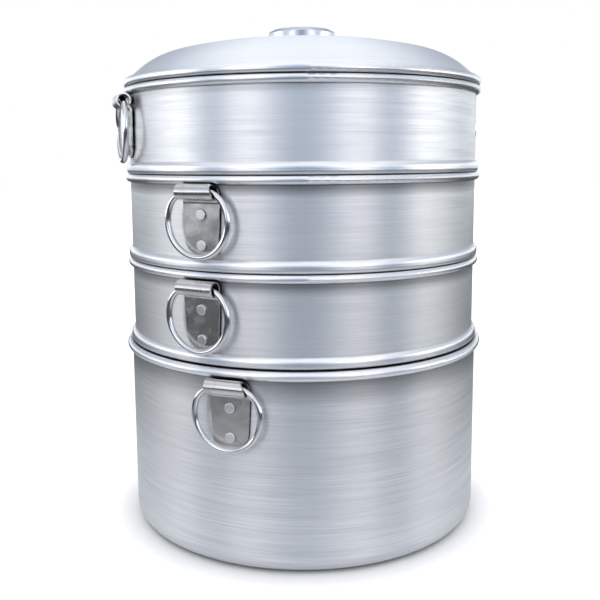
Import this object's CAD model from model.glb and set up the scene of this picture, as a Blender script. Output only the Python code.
from math import radians

import bpy
from mathutils import Matrix

# Looks of the stacked steamer: spun aluminium shells, pressed straps, wire rings and rivets.
# Metres, +Z up, the front of the object towards -Y.

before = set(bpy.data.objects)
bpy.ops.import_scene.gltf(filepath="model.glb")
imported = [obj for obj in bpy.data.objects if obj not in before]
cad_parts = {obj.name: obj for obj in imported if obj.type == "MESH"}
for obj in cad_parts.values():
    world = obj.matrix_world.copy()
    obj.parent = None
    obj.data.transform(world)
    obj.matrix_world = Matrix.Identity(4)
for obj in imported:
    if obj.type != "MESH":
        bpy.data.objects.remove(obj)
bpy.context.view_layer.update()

WHITE = (1.0, 1.0, 1.0, 1.0)

# Camera, level with the foot of the upper tier
CAMERA_DISTANCE = 0.7723
CAMERA_HEIGHT = 0.3316
CAMERA_PITCH = 7.615         # degrees down
CAMERA_YAW = 0.22            # degrees to the left
CAMERA_ROLL = -0.38
CAMERA_LENS = 48.68          # mm on a 36 mm sensor
CAMERA_SHIFT = -0.0555       # the photograph is cropped closer at the top
CAMERA_CLIP = 0.01

# Studio
FLOOR_SIZE = 16.0
FLOOR_DROP = 0.0002          # keeps the floor clear of the pot's bottom face
FLOOR_ROUGHNESS = 0.9
FLOOR_GREY = 0.80
FLOOR_GLOW = 0.60            # lifts the floor to white, away from the pot, for the camera only
FLOOR_GLOW_FROM = 0.150      # distance from the axis where this starts
FLOOR_GLOW_FULL = 0.200
FLOOR_WARM = (0.82, 0.80, 0.77, 1.0)    # evens out the cool light, for the camera only
TABLE_R = 0.30               # the pale table that the metal mirrors ends about here
TABLE_EDGE = 0.40            # width over which it falls off
ROOM_FLOOR = 0.08            # what the metal mirrors beyond the table
WORLD_STRENGTH = 1.0

# Light round the object, from low down to overhead: the sine of its height, then degrees
# from the camera's side (0) to behind the object (180) with the light's colour there
LIGHT = [
    (0.12, [
        (0, (0.36, 0.40, 0.48)),
        (10, (0.36, 0.42, 0.52)),
        (18, (0.92, 1.03, 1.20)),
        (26, (1.75, 1.84, 2.00)),
        (34, (2.26, 2.27, 2.36)),
        (42, (2.15, 2.12, 2.18)),
        (50, (0.86, 0.98, 1.16)),
        (60, (0.66, 0.79, 0.98)),
        (70, (2.02, 2.09, 2.18)),
        (82, (3.30, 3.36, 3.44)),
        (95, (2.55, 2.63, 2.72)),
        (120, (1.25, 1.33, 1.42)),
        (180, (0.92, 0.97, 1.02)),
    ]),
    (0.30, [
        (0, (0.45, 0.62, 0.90)),
        (18, (1.08, 1.24, 1.52)),
        (34, (1.82, 1.86, 1.98)),
        (58, (0.98, 1.12, 1.40)),
        (90, (0.78, 0.84, 0.92)),
        (180, (0.14, 0.15, 0.18)),
    ]),
    (0.60, [
        (0, (0.84, 0.97, 1.20)),
        (25, (1.12, 1.18, 1.32)),
        (50, (0.80, 0.84, 0.92)),
        (90, (0.44, 0.48, 0.56)),
        (180, (0.46, 0.54, 0.64)),
    ]),
    (0.85, [
        (0, (1.10, 1.13, 1.18)),
        (90, (0.96, 0.97, 1.00)),
        (180, (1.26, 1.34, 1.46)),
    ]),
    (1.00, [
        (0, (1.05, 1.05, 1.05)),
        (180, (1.05, 1.05, 1.05)),
    ]),
]

# Spun aluminium
POT_WALL_R, TIER_WALL_R = 0.1620, 0.1592
RIM_FROM, RIM_FULL = 0.0004, 0.0012    # past the wall's radius, from brushed to burnished
AXIS_R = 0.001                         # nearer the axis than this the lines run out
BURNISHED = (0.96, 0.96, 0.97)
BURNISHED_DARK = 0.96
BURNISHED_ROUGHNESS = 0.28
SPUN_ANISOTROPY = 0.9
SPUN_TURN = 0.25                       # stretches the highlights across the lines
# Length (radians round the axis, about), width, detail, range of the noise that is used,
# and share in the pattern
FINE_LINES = (0.35, 0.0006, 3.0, 0.32, 0.68, 0.65)
WIDE_LINES = (0.8, 0.005, 2.0, 0.3, 0.7, 0.35)
SOFT_SCALE = 14.0                      # patches of other polish
LINES_IN_GLOSS = 0.7                   # the lines' share in the roughness, the rest is patches
GLOSS_LOW, GLOSS_HIGH = 0.2, 0.8
DULL_LINE, BRIGHT_LINE = 1.15, 0.87    # times the wall's roughness
CURL_DEPTH = 0.003                     # the dull band is full this far below the rim

# Height of the rim's underside, depth of the dull band below it, share of light left there
POT_RIM = (0.1600, 0.022, 0.45)
# Name of each tier, its shade and its rim
TIERS = [
    ("lower", 0.78, (0.2363, 0.010, 0.45)),
    ("middle", 0.85, (0.3118, 0.010, 0.40)),
    ("upper", 0.98, (0.3873, 0.008, 0.85)),
]

# Tarnish: how far from a crease it reaches, how dark it gets and how open the surface is
# where it is darkest and where it ends
SPUN_REACH, SHEET_REACH, WIRE_REACH = 0.005, 0.003, 0.004
TARNISH_DARKEST = 0.02
TARNISH_FROM, TARNISH_TO = 0.34, 0.82
TARNISH_SAMPLES = 8

# Pressed sheet
STAIN_SCALE, STAIN_LOW, STAIN_HIGH = 60.0, 0.48, 0.70
STAIN_WEIGHT = 0.45
STAIN_ROUGHNESS = 1.6                  # times the clean sheet's
PIT_SCALE, PIT_LOW, PIT_HIGH = 700.0, 0.72, 0.78
MARK_DARK = 0.55
WAVE_SCALE = 55.0

# Polished wire
SMEAR_SCALE, SMEAR_LOW, SMEAR_HIGH = 160.0, 0.3, 0.7
SMEAR_DARK = 0.88
SMEAR_GLOSSY, SMEAR_DULL = 0.7, 1.5    # times the wire's roughness

UNEVEN = 0.6                           # share of fine detail in streaks, stains and smears


class Nodes:
    """Short calls that build one material's or one world's nodes."""

    def __init__(self, tree):
        self.tree = tree

    def add(self, kind, inputs=None, **settings):
        node = self.tree.nodes.new(kind)
        for name, value in settings.items():
            setattr(node, name, value)
        for name, value in (inputs or {}).items():
            self.set(node.inputs[name], value)
        return node

    def set(self, socket, value):
        if isinstance(value, bpy.types.NodeSocket):
            self.tree.links.new(value, socket)
        else:
            socket.default_value = value

    def math(self, operation, *values):
        node = self.add("ShaderNodeMath", operation=operation)
        for socket, value in zip(node.inputs, values):
            self.set(socket, value)
        return node.outputs[0]

    def vector(self, x, y, z):
        return self.add("ShaderNodeCombineXYZ", {"X": x, "Y": y, "Z": z}).outputs[0]

    def split(self, vector):
        return self.add("ShaderNodeSeparateXYZ", {"Vector": vector}).outputs

    def length(self, vector):
        return self.add("ShaderNodeVectorMath", {0: vector}, operation="LENGTH").outputs["Value"]

    def place(self, coordinates="Object"):
        return self.add("ShaderNodeTexCoord").outputs[coordinates]

    def is_camera(self):
        return self.add("ShaderNodeLightPath").outputs["Is Camera Ray"]

    def noise(self, vector, scale, detail, roughness=0.5):
        inputs = {"Vector": vector, "Scale": scale, "Detail": detail, "Roughness": roughness}
        return self.add("ShaderNodeTexNoise", inputs).outputs["Fac"]

    def spread(self, factor, low, high, to_low=0.0, to_high=1.0):
        """A factor's range low..high, stretched to to_low..to_high and clamped there."""
        node = self.add("ShaderNodeMapRange", clamp=True)
        for socket, value in zip(node.inputs, (factor, low, high, to_low, to_high)):
            self.set(socket, value)
        return node.outputs[0]

    def mix(self, factor, a, b):
        node = self.add("ShaderNodeMix", data_type="RGBA")
        colours = [s for s in node.inputs if s.type == "RGBA"]
        self.set(node.inputs[0], factor)
        self.set(colours[0], a)
        self.set(colours[1], b)
        return [s for s in node.outputs if s.type == "RGBA"][0]

    def mix_numbers(self, factor, a, b):
        node = self.add("ShaderNodeMix", {"Factor": factor, "A": a, "B": b}, data_type="FLOAT")
        return node.outputs["Result"]

    def ramp(self, factor, stops):
        node = self.add("ShaderNodeValToRGB", {"Fac": factor})
        ramp = node.color_ramp
        ramp.interpolation = "LINEAR"
        while len(ramp.elements) < len(stops):
            ramp.elements.new(0.5)
        for element, (place, colour) in zip(ramp.elements, stops):
            element.position = place
            element.color = (*colour, 1.0)
        return node.outputs["Color"]

    def bump(self, height, depth):
        inputs = {"Height": height, "Strength": 1.0, "Distance": depth}
        return self.add("ShaderNodeBump", inputs).outputs[0]


def grey(level):
    return (level, level, level, 1.0)


def shades(colour, low, high):
    """A colour made darker and lighter by two factors, as two RGBA colours."""
    return [(*(c * f for c in colour), 1.0) for f in (low, high)]


def metal(name, colour, roughness):
    """A bare metal material in a plain colour and roughness, its shader and its nodes."""
    material = bpy.data.materials.new(name)
    material.use_nodes = True
    shader = material.node_tree.nodes["Principled BSDF"]
    shader.inputs["Metallic"].default_value = 1.0
    shader.inputs["Base Color"].default_value = (*colour, 1.0)
    shader.inputs["Roughness"].default_value = roughness
    return material, shader, Nodes(material.node_tree)


def tarnish(nodes, colour, reach):
    """A colour made darker in creases and under rims, where polish doesn't reach."""
    inputs = {"Distance": reach}
    occlusion = nodes.add("ShaderNodeAmbientOcclusion", inputs, samples=TARNISH_SAMPLES)
    level = nodes.spread(
        occlusion.outputs["AO"], TARNISH_FROM, TARNISH_TO, TARNISH_DARKEST, 1.0
    )
    return nodes.mix(level, grey(0.0), colour)


def spun(name, colour, roughness, wall_r, line_contrast, line_depth, rim=None):
    """Spun aluminium: lines round the axis, burnished rims and beads, a dull band under the rim."""
    material, shader, nodes = metal(name, colour, roughness)
    place = nodes.place()
    x, y, z = nodes.split(place)
    radius = nodes.length(nodes.vector(x, y, 0.0))
    across = nodes.math("SUBTRACT", z, radius)
    safe_radius = nodes.math("MAXIMUM", radius, AXIS_R)
    turn_x = nodes.math("DIVIDE", x, safe_radius)
    turn_y = nodes.math("DIVIDE", y, safe_radius)

    def lines(length, width, detail, low, high, share):
        """One kind of streaks, from 0 to its share."""
        vector = nodes.vector(
            nodes.math("MULTIPLY", turn_x, 1 / length),
            nodes.math("MULTIPLY", turn_y, 1 / length),
            nodes.math("MULTIPLY", across, 1 / width),
        )
        streaks = nodes.spread(nodes.noise(vector, 1.0, detail, UNEVEN), low, high)
        return nodes.math("MULTIPLY", streaks, share)

    level = nodes.math("ADD", lines(*FINE_LINES), lines(*WIDE_LINES))
    soft = nodes.noise(place, SOFT_SCALE, 2.0)
    # 0 on the brushed wall, 1 on rims and beads, which stand out from it
    stands_out = nodes.spread(radius, wall_r + RIM_FROM, wall_r + RIM_FULL)

    brushed = nodes.mix(level, *shades(colour, 1 - line_contrast, 1 + line_contrast))
    if rim:
        rim_z, reach, dullest = rim
        under_rim = nodes.spread(z, rim_z - reach, rim_z - CURL_DEPTH, 1.0, dullest)
        brushed = nodes.mix(under_rim, grey(0.0), brushed)
    smooth = nodes.mix(soft, *shades(BURNISHED, BURNISHED_DARK, 1.0))
    clean = nodes.mix(stands_out, brushed, smooth)
    nodes.set(shader.inputs["Base Color"], tarnish(nodes, clean, SPUN_REACH))

    gloss = nodes.math(
        "ADD",
        nodes.math("MULTIPLY", level, LINES_IN_GLOSS),
        nodes.math("MULTIPLY", soft, 1 - LINES_IN_GLOSS),
    )
    wall_rough = nodes.spread(
        gloss, GLOSS_LOW, GLOSS_HIGH, roughness * DULL_LINE, roughness * BRIGHT_LINE
    )
    rough = nodes.mix_numbers(stands_out, wall_rough, BURNISHED_ROUGHNESS)
    nodes.set(shader.inputs["Roughness"], rough)

    shader.inputs["Anisotropic"].default_value = SPUN_ANISOTROPY
    shader.inputs["Anisotropic Rotation"].default_value = SPUN_TURN
    tangent = nodes.add("ShaderNodeTangent", direction_type="RADIAL", axis="Z")
    nodes.set(shader.inputs["Tangent"], tangent.outputs[0])
    nodes.set(shader.inputs["Normal"], nodes.bump(level, line_depth))
    return material


def mill_finish(name, colour, roughness, wave_depth):
    """Pressed sheet: bright, a little wavy, with soft stains and fine pits."""
    material, shader, nodes = metal(name, colour, roughness)
    place = nodes.place()
    stains = nodes.spread(
        nodes.noise(place, STAIN_SCALE, 3.0, UNEVEN), STAIN_LOW, STAIN_HIGH
    )
    pits = nodes.spread(nodes.noise(place, PIT_SCALE, 1.0), PIT_LOW, PIT_HIGH)
    marks = nodes.math("MAXIMUM", nodes.math("MULTIPLY", stains, STAIN_WEIGHT), pits)
    marked, clean = shades(colour, MARK_DARK, 1.0)
    worn = nodes.mix(marks, clean, marked)
    nodes.set(shader.inputs["Base Color"], tarnish(nodes, worn, SHEET_REACH))
    rough = nodes.spread(stains, 0.0, 1.0, roughness, roughness * STAIN_ROUGHNESS)
    nodes.set(shader.inputs["Roughness"], rough)
    waves = nodes.noise(place, WAVE_SCALE, 1.0)
    nodes.set(shader.inputs["Normal"], nodes.bump(waves, wave_depth))
    return material


def polished_wire(name, colour, roughness):
    """Drawn and polished wire with faint smears."""
    material, shader, nodes = metal(name, colour, roughness)
    smear = nodes.noise(nodes.place(), SMEAR_SCALE, 3.0, UNEVEN)
    dark, light = shades(colour, SMEAR_DARK, 1.0)
    worn = nodes.mix(smear, light, dark)
    nodes.set(shader.inputs["Base Color"], tarnish(nodes, worn, WIRE_REACH))
    rough = nodes.spread(
        smear, SMEAR_LOW, SMEAR_HIGH, roughness * SMEAR_GLOSSY, roughness * SMEAR_DULL
    )
    nodes.set(shader.inputs["Roughness"], rough)
    return material


def dress(material, *suffixes):
    """Give a material to every CAD node whose name ends in one of the suffixes."""
    for name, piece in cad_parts.items():
        if name.endswith(suffixes):
            piece.material_slots[0].material = material


def dress_steamer():
    """Make the materials and give each CAD node its own."""
    pot = spun(
        "pot_aluminium", (0.76, 0.76, 0.76), roughness=0.40, wall_r=POT_WALL_R,
        line_contrast=0.16, line_depth=0.00004, rim=POT_RIM,
    )
    dress(pot, "pot_shell")
    for tier, shade, rim in TIERS:
        look = spun(
            f"{tier}_tier_aluminium", (shade, shade, shade), roughness=0.40,
            wall_r=TIER_WALL_R, line_contrast=0.11, line_depth=0.00003, rim=rim,
        )
        dress(look, f"{tier}_tier_shell")
    lid = spun(
        "lid_aluminium", (0.94, 0.95, 0.96), roughness=0.36, wall_r=TIER_WALL_R,
        line_contrast=0.03, line_depth=0.00001,
    )
    dress(lid, "lid_shell")
    knob = mill_finish("knob_metal", (0.60, 0.61, 0.66), roughness=0.26, wave_depth=0.0001)
    dress(knob, "knob_base", "knob_cap")
    strap = mill_finish("strap_metal", (0.68, 0.66, 0.64), roughness=0.22, wave_depth=0.0004)
    dress(strap, "_bracket")
    dress(polished_wire("ring_steel", (0.76, 0.76, 0.77), roughness=0.15), "_ring")
    rivet = mill_finish("rivet_metal", (0.92, 0.91, 0.90), roughness=0.30, wave_depth=0.0002)
    dress(rivet, "_rivets", "knob_rivet")


def studio_world():
    """Soft boxes round the horizon and overhead; the camera itself sees plain white."""
    world = bpy.data.worlds.new("studio")
    world.use_nodes = True
    bpy.context.scene.world = world
    nodes = Nodes(world.node_tree)
    background = world.node_tree.nodes["Background"]
    x, y, z = nodes.split(nodes.place("Generated"))
    azimuth = nodes.math("ARCTAN2", nodes.math("ABSOLUTE", x), nodes.math("MULTIPLY", y, -1.0))
    around = nodes.math("DIVIDE", azimuth, radians(180))

    def band(stops):
        return nodes.ramp(around, [(degrees / 180, colour) for degrees, colour in stops])

    below, stops = LIGHT[0]
    light = band(stops)
    for height, stops in LIGHT[1:]:
        light = nodes.mix(nodes.spread(z, below, height), light, band(stops))
        below = height
    nodes.set(background.inputs["Color"], nodes.mix(nodes.is_camera(), light, WHITE))
    background.inputs["Strength"].default_value = WORLD_STRENGTH


def studio_floor():
    """Large pale floor, marked as stage."""
    half = FLOOR_SIZE / 2
    mesh = bpy.data.meshes.new("floor")
    corners = [(-half, -half, 0.0), (half, -half, 0.0), (half, half, 0.0), (-half, half, 0.0)]
    mesh.from_pydata(corners, [], [(0, 1, 2, 3)])
    floor = bpy.data.objects.new("floor", mesh)
    floor.location.z = -FLOOR_DROP
    bpy.context.scene.collection.objects.link(floor)
    material = bpy.data.materials.new("floor")
    material.use_nodes = True
    nodes = Nodes(material.node_tree)
    shader = material.node_tree.nodes["Principled BSDF"]
    shader.inputs["Roughness"].default_value = FLOOR_ROUGHNESS
    shader.inputs["Specular IOR Level"].default_value = 0.0
    shader.inputs["Emission Color"].default_value = WHITE
    is_camera = nodes.is_camera()
    radius = nodes.length(nodes.place())
    glow = nodes.spread(radius, FLOOR_GLOW_FROM, FLOOR_GLOW_FULL, 0.0, FLOOR_GLOW)
    nodes.set(shader.inputs["Emission Strength"], nodes.math("MULTIPLY", is_camera, glow))
    away = nodes.spread(radius, TABLE_R, TABLE_R + TABLE_EDGE)
    mirrored = nodes.mix(away, grey(FLOOR_GREY), grey(ROOM_FLOOR))
    nodes.set(shader.inputs["Base Color"], nodes.mix(is_camera, mirrored, FLOOR_WARM))
    mesh.materials.append(material)


def studio_camera():
    """Camera at the photograph's height, pitch and field of view."""
    data = bpy.data.cameras.new("camera")
    data.lens = CAMERA_LENS
    data.shift_y = CAMERA_SHIFT
    data.clip_start = CAMERA_CLIP
    camera = bpy.data.objects.new("camera", data)
    bpy.context.scene.collection.objects.link(camera)
    turn = (
        Matrix.Rotation(radians(CAMERA_YAW), 4, "Z")
        @ Matrix.Rotation(radians(90 - CAMERA_PITCH), 4, "X")
        @ Matrix.Rotation(radians(CAMERA_ROLL), 4, "Z")
    )
    camera.matrix_world = Matrix.Translation((0, -CAMERA_DISTANCE, CAMERA_HEIGHT)) @ turn
    bpy.context.scene.camera = camera


dress_steamer()
studio_world()
studio_floor()
studio_camera()
bpy.context.scene.view_settings.view_transform = "Standard"
